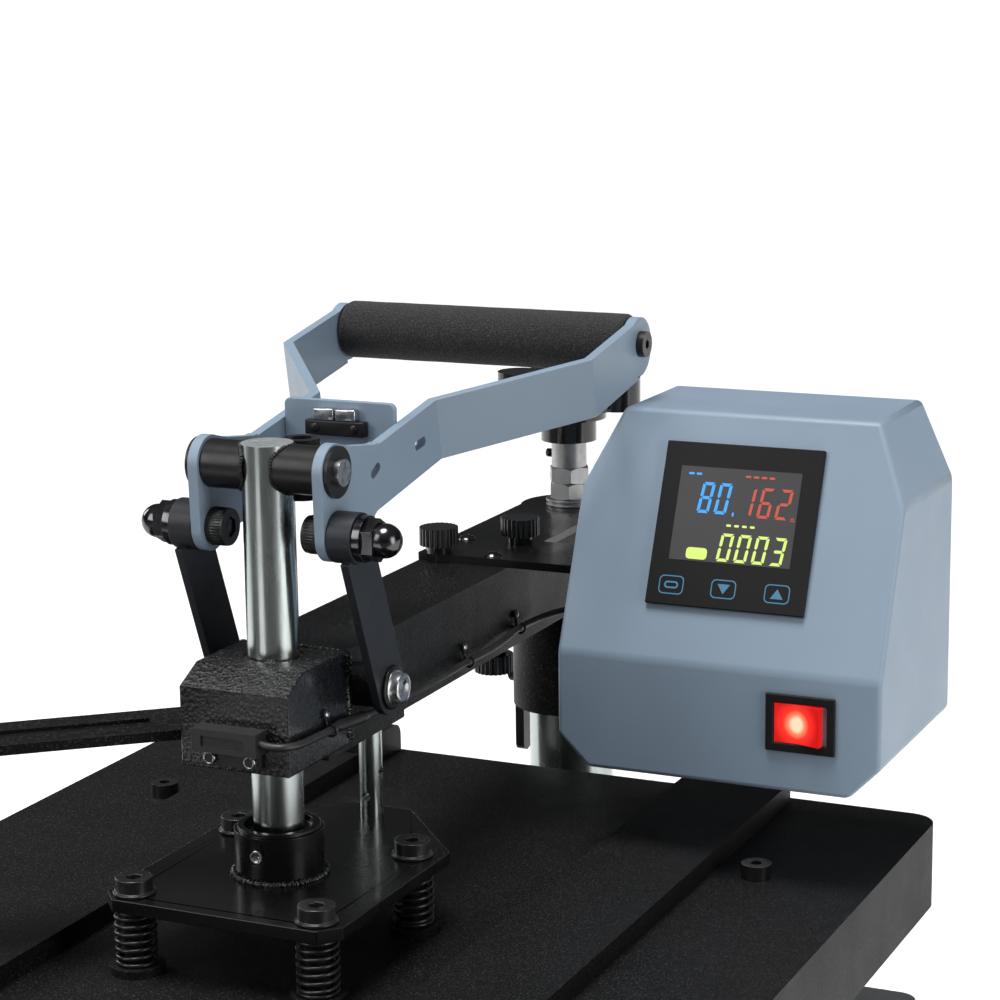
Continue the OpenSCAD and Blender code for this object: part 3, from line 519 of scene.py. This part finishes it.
def foam_grip():
    lo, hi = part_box("foam_grip")
    centre = (lo + hi) / 2
    radius, half = (hi.z - lo.z) / 2 - 0.0002, (hi.x - lo.x) / 2
    bore = 8.1 * MM
    shoulder = 2.2 * MM
    rings, sides = 220, 120
    bm = bmesh.new()
    grid = []
    for i in range(rings + 1):
        x = -half + 2 * half * i / rings
        from_end = half - abs(x)
        drop = shoulder - math.sqrt(max(0.0, shoulder ** 2 - max(0.0, shoulder - from_end) ** 2))
        ring = []
        for k in range(sides):
            a = 2 * math.pi * k / sides
            lump = 0.0001 * noise.noise(Vector((x * 90, math.cos(a) * 2.2, math.sin(a) * 2.2)))
            pore = 0.00005 * noise.noise(Vector((x * 900, math.cos(a) * 13, math.sin(a) * 13)))
            r = radius - 0.0003 - drop + lump + pore
            ring.append(bm.verts.new(centre + Vector((x, r * math.cos(a), r * math.sin(a)))))
        grid.append(ring)
    for one, two in zip(grid, grid[1:]):
        for k in range(sides):
            bm.faces.new((one[k], one[(k + 1) % sides], two[(k + 1) % sides], two[k]))
    for ring, x in ((grid[0], -half), (grid[-1], half)):
        hole = [bm.verts.new(centre + Vector((x, bore * math.cos(a), bore * math.sin(a))))
                for a in (2 * math.pi * k / sides for k in range(sides))]
        for k in range(sides):
            bm.faces.new((ring[k], ring[(k + 1) % sides], hole[(k + 1) % sides], hole[k]))
    sleeve = piece("foam_sleeve", bm, "foam", "lever")
    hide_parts("foam_grip")


foam_grip()


# ---------- coil springs ----------

def coil_springs():
    lo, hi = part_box("springs")
    wire, turns, steps = 1.0 * MM, 8, 32
    coil = 8.3 * MM
    reach = coil + wire
    corners = [(x, y) for x in (lo.x + reach, hi.x - reach) for y in (lo.y + reach, hi.y - reach)]
    for number, (x, y) in enumerate(corners, 1):
        path = []
        for i in range(turns * steps + 1):
            t = i / steps
            rise = min(1.0, max(0.0, (t - 0.75) / (turns - 1.5)))
            z = lo.z + wire + rise * (hi.z - lo.z - 2 * wire)
            a = 2 * math.pi * t + number
            path.append(Vector((x + coil * math.cos(a), y + coil * math.sin(a), z)))
        bm = bmesh.new()
        tube(bm, path, wire, 12)
        spring = piece(f"coil_spring_{number}", bm, "black_steel", "platen")
        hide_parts("springs")
        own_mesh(spring)


coil_springs()


# ---------- sensor cable and its clips ----------

CABLE_ROUTE = [Vector(p) for p in (
    (0.0150, BLOCK_LOW.y - 0.0050, DECK + 0.1050), (0.0200, BLOCK_LOW.y - 0.0052, DECK + 0.1046),
    (0.0250, BLOCK_LOW.y - 0.0040, DECK + 0.1044), (0.0286, BLOCK_LOW.y + 0.0010, DECK + 0.1043),
    (0.0296, BLOCK_LOW.y + 0.0080, DECK + 0.1040), (0.0292, RAM.y - 0.0160, DECK + 0.1034),
    (0.0292, RAM.y - 0.0090, DECK + 0.1030), (0.0292, RAM.y + 0.0010, DECK + 0.1030),
    (0.0290, RAM.y + 0.0120, DECK + 0.1018), (0.0280, RAM.y + 0.0300, DECK + 0.0998),
    (0.0274, RAM.y + 0.0550, DECK + 0.0980), (0.0272, RAM.y + 0.0850, DECK + 0.0972),
    (0.0272, RAM.y + 0.1150, DECK + 0.0973), (0.0272, RAM.y + 0.1310, DECK + 0.0975),
    (0.0272, RAM.y + 0.1410, DECK + 0.0975), (0.0274, RAM.y + 0.1580, DECK + 0.0972),
    (0.0274, RAM.y + 0.1750, DECK + 0.0980), (0.0272, RAM.y + 0.1900, DECK + 0.0995),
    (0.0272, RAM.y + 0.2000, DECK + 0.0995), (0.0290, RAM.y + 0.2150, DECK + 0.0998),
    (0.0340, RAM.y + 0.2290, DECK + 0.1004), (0.0420, RAM.y + 0.2390, DECK + 0.1010),
    (0.0520, RAM.y + 0.2440, DECK + 0.1016), (0.0666, RAM.y + 0.2450, DECK + 0.1020))]


def sensor_cable():
    path = smooth_path(CABLE_ROUTE, 8)
    bm = bmesh.new()
    sleeve = range(57, 72)        # rings of the path under the thicker sleeve, just behind the block
    tube(bm, path, lambda i: (2.5 if i in sleeve else 1.7) * MM, 16)
    cable = piece("sensor_lead", bm, "cable_sheath", "arm")
    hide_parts("sensor_cable")
    bm = bmesh.new()
    turned(bm, [(0, 3.2), (0.5, 4.4), (2.2, 4.4), (2.8, 3.6), (2.9, 2.1)],
           Vector((BOX_LOW.x + 0.2 * MM, CABLE_ROUTE[-1].y, CABLE_ROUTE[-1].z)), -X, 32)
    piece("lead_grommet", bm, "rubber", "arm")


sensor_cable()


def cable_clips():
    """Wire saddles: a loop under the cable, with its eye on a small screw."""
    side = 24 * MM                # the arm's right side
    places = ((BLOCK_HIGH.x, RAM.y - 0.004, DECK + 0.103, 0.0292), (side, RAM.y + 0.136, DECK + 0.0975, 0.0272),
              (side, RAM.y + 0.195, DECK + 0.0995, 0.0272))
    for number, (wall, y, z, x) in enumerate(places, 1):
        eye = Vector((wall + 1.0 * MM, y, z + 6.4 * MM))
        points = [eye + Vector((0, 1.9 * MM * math.cos(a), 1.9 * MM * math.sin(a)))
                  for a in (math.radians(d) for d in (-60, 0, 60, 120, 180, 230))]
        points += [Vector((wall + 1.0 * MM, y - 0.6 * MM, z + 3.4 * MM))]
        points += [Vector((x, y - 0.4 * MM, z)) + 2.7 * MM * Vector((math.cos(a), 0, math.sin(a)))
                   for a in (math.radians(d) for d in (135, 185, 235, 285, 335, 385, 435))]
        bm = bmesh.new()
        tube(bm, smooth_path(points, 8), 0.62 * MM, 10)
        clip = piece(f"cable_saddle_{number}", bm, "black_steel", "arm")
        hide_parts("cable_clips")
        bm = bmesh.new()
        turned(bm, [(0, 1.7), (1.3, 1.7), (1.9, 1.2), (2.1, 0.5)], Vector((wall, y, eye.z)), X, 24)
        piece(f"saddle_screw_{number}", bm, "bright_steel", "arm")


cable_clips()


# ---------- control box ----------

BOX_STEP = 55.6 * MM            # height of the upright lower front
LEAN = math.radians(23.4)     # lean of the upper front
UP_SLOPE = Vector((0, math.sin(LEAN), math.cos(LEAN)))
OUT = Vector((0, -math.cos(LEAN), math.sin(LEAN)))


def box_cover():
    lo, hi = BOX_LOW, BOX_HIGH
    back_y = hi.y - 0.5 * MM
    cuts = [(lo, -X), (hi, X), (lo, -Z), (hi, Z), (lo, -Y), (Vector((0, back_y, 0)), Y),
            (Vector((0, lo.y, lo.z + BOX_STEP)), OUT)]
    for x, side in ((lo.x, -1), (hi.x, 1)):
        cuts.append((Vector((x, 0, lo.z + 15 * MM)), Vector((side, 0, -1)).normalized()))
        cuts.append((Vector((x, 0, hi.z - 36 * MM)), Vector((side * 36, 0, 16)).normalized()))
    bm = bmesh.new()
    bmesh.ops.create_cube(bm, size=3.0)
    for point, normal in cuts:
        geometry = bm.verts[:] + bm.edges[:] + bm.faces[:]
        made = bmesh.ops.bisect_plane(bm, geom=geometry, plane_co=point, plane_no=normal, clear_outer=True)
        rim = [e for e in made["geom_cut"] if isinstance(e, bmesh.types.BMEdge)]
        if rim:
            bmesh.ops.edgeloop_fill(bm, edges=rim)
    bmesh.ops.remove_doubles(bm, verts=bm.verts, dist=0.00001)
    rounded = [e for e in bm.edges if min(v.co.y for v in e.verts) < back_y - MM]
    bmesh.ops.bevel(bm, geom=rounded, offset=2.2 * MM, segments=4, affect="EDGES", profile=0.5, clamp_overlap=True)
    cover = piece("box_cover", bm, "blue_grey", "arm")
    for face in cover.data.polygons:
        face.use_smooth = face.area < 0.0005
    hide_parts("box_shell")


box_cover()

BEZEL_LOW, BEZEL_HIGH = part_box("display_unit")
BEZEL_W, BEZEL_H = BEZEL_HIGH.x - BEZEL_LOW.x, 77.6 * MM
BEZEL_CORNER = Vector((BEZEL_LOW.x, BOX_LOW.y, BOX_LOW.z + BOX_STEP)) + 26.3 * MM * UP_SLOPE + 2.6 * MM * OUT


def on_face(u, v, lift=0.0):
    """A point on the display: u across and v up, both 0 to 1, lifted in millimetres."""
    return BEZEL_CORNER + u * BEZEL_W * X + v * BEZEL_H * UP_SLOPE + lift * MM * OUT


def plate(bm, outline, lift, thick=0.12):
    """A thin flat shape on the display."""
    top = [bm.verts.new(on_face(u, v, lift + thick)) for u, v in outline]
    base = [bm.verts.new(on_face(u, v, lift)) for u, v in outline]
    bm.faces.new(top)
    for k in range(len(outline)):
        n = (k + 1) % len(outline)
        bm.faces.new((top[k], base[k], base[n], top[n]))


def rounded_outline(u0, v0, u1, v1, r, count=5):
    points = []
    for cu, cv, start in ((u1 - r, v1 - r, 0), (u0 + r, v1 - r, 90), (u0 + r, v0 + r, 180), (u1 - r, v0 + r, 270)):
        for k in range(count + 1):
            a = math.radians(start + 90 * k / count)
            points.append((cu + r * math.cos(a), cv + r * math.sin(a)))
    return points


SEGMENTS = {"0": "abcdef", "1": "bc", "2": "abged", "3": "abgcd", "6": "afgedc", "8": "abcdefg"}


def digit(bm, character, u, v, w, h, stroke, lift):
    """A seven-segment figure that leans a little to the right."""
    lean = 0.12
    t, c = stroke, stroke * 0.12
    upright = {"b": (w, h / 2, h), "c": (w, 0, h / 2), "f": (0, h / 2, h), "e": (0, 0, h / 2)}
    level = {"a": h, "g": h / 2, "d": 0}
    for name in SEGMENTS[character]:
        if name in upright:
            x, y0, y1 = upright[name]
            s = -1 if x else 1
            shape = [(x, y0 + t * 0.5 + c), (x + s * t * 0.5, y0 + c + (0 if y0 else t * 0.5)),
                     (x + s * t, y0 + t * (0.5 if y0 else 1.0) + c),
                     (x + s * t, y1 - t * (1.0 if y1 == h else 0.5) - c),
                     (x + s * t * 0.5, y1 - c - (t * 0.5 if y1 == h else 0)), (x, y1 - t * 0.5 - c)]
        else:
            y = level[name]
            if name == "g":
                shape = [(t * 0.6 + c, y), (t + c, y + t / 2), (w - t - c, y + t / 2), (w - t * 0.6 - c, y),
                         (w - t - c, y - t / 2), (t + c, y - t / 2)]
            else:
                s = -1 if y else 1
                shape = [(c + t * 0.2, y), (w - c - t * 0.2, y), (w - t - c, y + s * t), (t + c, y + s * t)]
        plate(bm, [(u + x + lean * y, v + y) for x, y in shape], lift)


def number(name, text, u, v, w, h, gap, stroke, material):
    bm = bmesh.new()
    for i, character in enumerate(text):
        digit(bm, character, u + i * (w + gap), v, w, h, stroke, 0.22)
    piece(name, bm, material, "arm", smooth=False)


def ring_outline(bm, u0, v0, u1, v1, r, line, lift):
    outer = rounded_outline(u0, v0, u1, v1, r)
    inner = rounded_outline(u0 + line, v0 + line, u1 - line, v1 - line, r - line * 0.7)
    n = len(outer)
    a = [bm.verts.new(on_face(u, v, lift)) for u, v in outer]
    b = [bm.verts.new(on_face(u, v, lift)) for u, v in inner]
    for k in range(n):
        bm.faces.new((a[k], a[(k + 1) % n], b[(k + 1) % n], b[k]))


def display():
    bm = bmesh.new()
    plate(bm, rounded_outline(0.115, 0.275, 0.88, 0.85, 0.006), 0.02, 0.15)
    piece("display_glass", bm, "screen_grey", "arm", smooth=False)
    number("time_figures", "80", 0.247, 0.568, 0.079, 0.19, 0.03, 0.019, "lit_blue")
    number("heat_figures", "162", 0.513, 0.562, 0.08, 0.185, 0.034, 0.018, "lit_red")
    number("count_figures", "0003", 0.412, 0.285, 0.08, 0.17, 0.031, 0.018, "lit_green")
    bm = bmesh.new()
    plate(bm, rounded_outline(0.22, 0.286, 0.353, 0.356, 0.022), 0.22)
    for u in (0.45, 0.5, 0.55, 0.6):
        plate(bm, rounded_outline(u, 0.497, u + 0.03, 0.511, 0.006), 0.22)
    piece("count_marks", bm, "lit_green", "arm", smooth=False)
    bm = bmesh.new()
    for u in (0.168, 0.216):
        plate(bm, rounded_outline(u, 0.798, u + 0.035, 0.812, 0.006), 0.22)
    plate(bm, rounded_outline(0.475, 0.56, 0.487, 0.585, 0.005), 0.22)
    piece("time_marks", bm, "lit_blue", "arm", smooth=False)
    bm = bmesh.new()
    for u in (0.53, 0.58, 0.63, 0.68):
        plate(bm, rounded_outline(u, 0.8, u + 0.035, 0.814, 0.006), 0.22)
    ring_outline(bm, 0.845, 0.555, 0.868, 0.578, 0.01, 0.005, 0.3)
    piece("heat_marks", bm, "lit_red", "arm", smooth=False)
    for name, u in (("key_cycle", 0.076), ("key_down", 0.408), ("key_up", 0.745)):
        bm = bmesh.new()
        ring_outline(bm, u, 0.063, u + 0.158, 0.177, 0.03, 0.007, 0.12)
        mid_u, mid_v = u + 0.079, 0.12
        if name == "key_cycle":
            ring_outline(bm, mid_u - 0.045, mid_v - 0.022, mid_u + 0.045, mid_v + 0.022, 0.021, 0.01, 0.12)
        else:
            s = 1 if name == "key_up" else -1
            base_v = mid_v - s * 0.03
            plate(bm, [(mid_u - 0.04, base_v), (mid_u + 0.04, base_v), (mid_u, mid_v + s * 0.03)], 0.05)
        piece(name, bm, "key_blue", "arm", smooth=False)


display()


# ---------- lever details ----------

def magnets():
    lo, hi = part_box("magnet_holder")
    step = lo.z + 6.6 * MM
    bm = bmesh.new()
    block(bm, lo, Vector((hi.x, hi.y, step)), 0.5 * MM)
    for x in (-9.6, 9.6):
        turned(bm, [(0, 2.0), (0.9, 2.0), (1.2, 1.6)], Vector((x * MM, lo.y + 0.3 * MM, (lo.z + step) / 2)), -Y, 20)
    bracket = piece("magnet_bracket", bm, "satin_black", "lever")
    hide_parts("magnet_holder")
    for name, x in (("magnet_left", -10.4), ("magnet_right", 0.4)):
        bm = bmesh.new()
        block(bm, Vector((x * MM, lo.y, step)), Vector(((x + 10) * MM, hi.y, hi.z)), 0.7 * MM)
        piece(name, bm, "bright_steel", "lever")


magnets()


def link_bolts():
    for name, side in (("right", 1), ("left", -1)):
        lo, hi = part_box(f"link_bolt_{name}")
        mid = (lo + hi) / 2
        face = side * 42 * MM
        origin = Vector((face, mid.y, mid.z))
        bm = bmesh.new()
        turned(bm, [(0, 9.7), (1.1, 9.7), (1.5, 9.3), (1.5, 7.4)], origin, X * side, 48)
        washer = piece(f"link_washer_{name}", bm, "satin_black", f"link_{name}")
        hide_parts(f"link_bolt_{name}")
        bm = bmesh.new()
        turned(bm, [(-3.9, 3.9), (1.2, 3.9), (1.2, 7.6), (1.7, 7.9), (2.0, 7.5), (2.1, 6.7), (5.4, 6.7), (5.9, 6.2),
                    (6.0, 3.4), (5.6, 3.0)], origin, X * side, 48)
        head = piece(f"link_head_{name}", bm, "bright_steel", f"link_{name}")
        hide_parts(f"link_bolt_{name}")


link_bolts()


def knurled_caps():
    """Knurled sides of the two cap screws inside the lever's ears."""
    for name, side in (("right", 1), ("left", -1)):
        bm = bmesh.new()
        inner_end = Vector((side * 19.5 * MM, EARS.y, EARS.z))
        turned(bm, [(0.3, 7.8), (0.7, 8.25), (7.3, 8.25), (7.8, 7.9)], inner_end, X * side, 160, 40, 0.35)
        piece(f"cap_knurl_{name}", bm, "black_steel", "lever")


knurled_caps()


# ---------- small screws on the arm ----------

def small_screws():
    for name, x in (("left", -9.6), ("right", 9.6)):
        bm = bmesh.new()
        spot = Vector((x * MM, BLOCK_LOW.y - 3 * MM, low("closing_sensor").z + 3.4 * MM))
        turned(bm, [(0, 2.8), (1.9, 2.8), (2.3, 2.5), (2.3, 2.0), (1.2, 1.9)], spot, -Y, 24)
        piece(f"sensor_screw_{name}", bm, "bright_steel", "arm")
        # A gloss-black hex sits inside each screw's bore: painted shade for the hex socket
        bm = bmesh.new()
        turned(bm, [(1.0, 1.8), (1.5, 1.8), (1.5, 1.2), (1.3, 0.9)], spot, -Y, 6)
        piece(f"sensor_socket_shade_{name}", bm, "gloss_black", "arm")
    lo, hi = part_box("collar_screw")
    bm = bmesh.new()
    turned(bm, [(-4, 3.3), (-0.4, 3.3), (0, 2.9), (0, 1.7), (-2.4, 1.5)],
           Vector(((lo.x + hi.x) / 2, lo.y, (lo.z + hi.z) / 2)), -Y, 24)
    screw = piece("collar_set_screw", bm, "bright_steel", "ram")
    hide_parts("collar_screw")
    bm = bmesh.new()
    turned(bm, [(0, 2.3), (3.4, 2.3), (3.8, 1.9), (3.8, 1.2), (2.8, 1.1)],
           Vector((-9.0 * MM, POST.y, high("screw_nuts").z - 8 * MM)), -X, 24)
    piece("wheel_set_screw", bm, "gloss_black", "wheel")


small_screws()


# ---------- welds ----------

def welds():
    collar_foot = Vector((0, RAM.y, low("ram_collar").z + 0.6 * MM))
    weld_bead("weld_collar", level_circle(collar_foot, 20 * MM, 30), 1.5 * MM, "ram", "crackle_coat", closed=True)
    x = 24.3 * MM                 # the arm's side, where it meets the block
    y = ARM_LOW.y + 1.2 * MM
    top = BLOCK_HIGH.z - 0.6 * MM
    side = [Vector((x + 0.9 * MM, y, BLOCK_LOW.z + 3 * MM + k * (top - BLOCK_LOW.z - 4 * MM) / 7)) for k in range(8)]
    weld_bead("weld_arm_right", side, 2.0 * MM, "arm", "crackle_coat")
    weld_bead("weld_arm_left", [Vector((-p.x, p.y, p.z)) for p in side], 2.0 * MM, "arm", "crackle_coat")
    over = [Vector((-x + 2 * MM + k * (2 * x - 4 * MM) / 8, y - 0.8 * MM, ARM_HIGH.z + 0.4 * MM)) for k in range(9)]
    weld_bead("weld_arm_top", over, 1.4 * MM, "arm", "crackle_coat")
    for name, s in (("right", 1), ("left", -1)):
        rim = []
        for k in range(24):
            a = 2 * math.pi * k / 24
            y_rel, z_rel = 10.6 * math.sin(a), 10.6 * math.cos(a)
            x_rel = max(6.8, math.sqrt(max(0.0, 11.3 ** 2 - y_rel ** 2)))
            rim.append(Vector((s * (x_rel + 0.3) * MM, RAM.y + y_rel * MM, PIVOT.z + min(z_rel, 9.9) * MM)))
        weld_bead(f"weld_pivot_{name}", rim, 0.7 * MM, "ram", "satin_black", closed=True)


welds()


# ---------- studio ----------

def studio():
    scene = bpy.context.scene
    scene.view_settings.view_transform = "Standard"
    scene.view_settings.look = "None"
    bm = bmesh.new()
    bmesh.ops.create_grid(bm, x_segments=8, y_segments=8, size=120)
    data = bpy.data.meshes.new("floor")
    bm.to_mesh(data)
    bm.free()
    floor = bpy.data.objects.new("floor", data)
    scene.collection.objects.link(floor)
    r = Recipe("floor_white", (0.93, 0.93, 0.93), 0.9, shine=0.1)
    r.tint(r.noise(2, 2), (0.915, 0.915, 0.915))
    # The floor is dark in front of the press, out of the picture, so that black paint stays black
    split = r.add("ShaderNodeSeparateXYZ")
    r.join(r.place, split.inputs[0])
    r.tint(r.spread(split.outputs["Y"], -0.75, -0.4, 1, 0), (0.1, 0.1, 0.1), 0, 1)
    data.materials.append(r.material)

    # A white card on the dark floor: the ram's bright band
    bm = bmesh.new()
    bmesh.ops.create_grid(bm, x_segments=1, y_segments=1, size=0.5)
    data = bpy.data.meshes.new("card")
    bm.to_mesh(data)
    bm.free()
    card = bpy.data.objects.new("card", data)
    scene.collection.objects.link(card)
    card.scale = (0.55, 1.7, 1)
    card.rotation_euler = (0, 0, math.radians(-16))
    card.location = (-0.42, -1.4, 0.004)
    r = Recipe("card_white", (0.95, 0.95, 0.95), 0.9, shine=0.1)
    r.tint(r.noise(2, 2), (0.93, 0.93, 0.93))
    data.materials.append(r.material)

    world = bpy.data.worlds.new("studio")
    scene.world = world
    world.use_nodes = True
    # Dim at the horizon and brighter overhead, so that upright and level black faces part
    tree = world.node_tree
    background = tree.nodes["Background"]
    background.inputs["Color"].default_value = (0.93, 0.96, 1.0, 1)
    direction = tree.nodes.new("ShaderNodeTexCoord")
    height = tree.nodes.new("ShaderNodeSeparateXYZ")
    rise = tree.nodes.new("ShaderNodeMapRange")
    for socket, value in (("From Min", 0.0), ("From Max", 1.0), ("To Min", 0.02), ("To Max", 0.17)):
        rise.inputs[socket].default_value = value
    tree.links.new(direction.outputs["Generated"], height.inputs[0])
    tree.links.new(height.outputs["Z"], rise.inputs["Value"])
    tree.links.new(rise.outputs["Result"], background.inputs["Strength"])

    def sun(name, azimuth, elevation, strength, spread):
        light = bpy.data.lights.new(name, "SUN")
        light.energy = strength
        light.angle = math.radians(spread)
        obj = bpy.data.objects.new(name, light)
        scene.collection.objects.link(obj)
        a, e = math.radians(azimuth), math.radians(elevation)
        towards = Vector((math.sin(a) * math.cos(e), -math.cos(a) * math.cos(e), math.sin(e)))
        obj.rotation_euler = towards.to_track_quat("Z", "Y").to_euler()

    def softbox(name, place, target, width, height, power):
        light = bpy.data.lights.new(name, "AREA")
        light.shape = "RECTANGLE"
        light.size, light.size_y = width, height
        light.energy = power
        obj = bpy.data.objects.new(name, light)
        scene.collection.objects.link(obj)
        obj.location = place
        obj.rotation_euler = (Vector(place) - Vector(target)).to_track_quat("Z", "Y").to_euler()

    sun("overhead", -20, 79, 3.35, 30)
    softbox("key_left", (-1.2, -1.6, 1.4), (0, 0, 0.35), 0.9, 1.4, 16)
    softbox("fill_right", (1.9, -0.4, 0.7), (0.1, 0, 0.3), 0.8, 1.2, 13)
    softbox("rim_left", (-2.0, 0.5, 1.1), (0, 0.1, 0.4), 0.6, 0.8, 9)


studio()
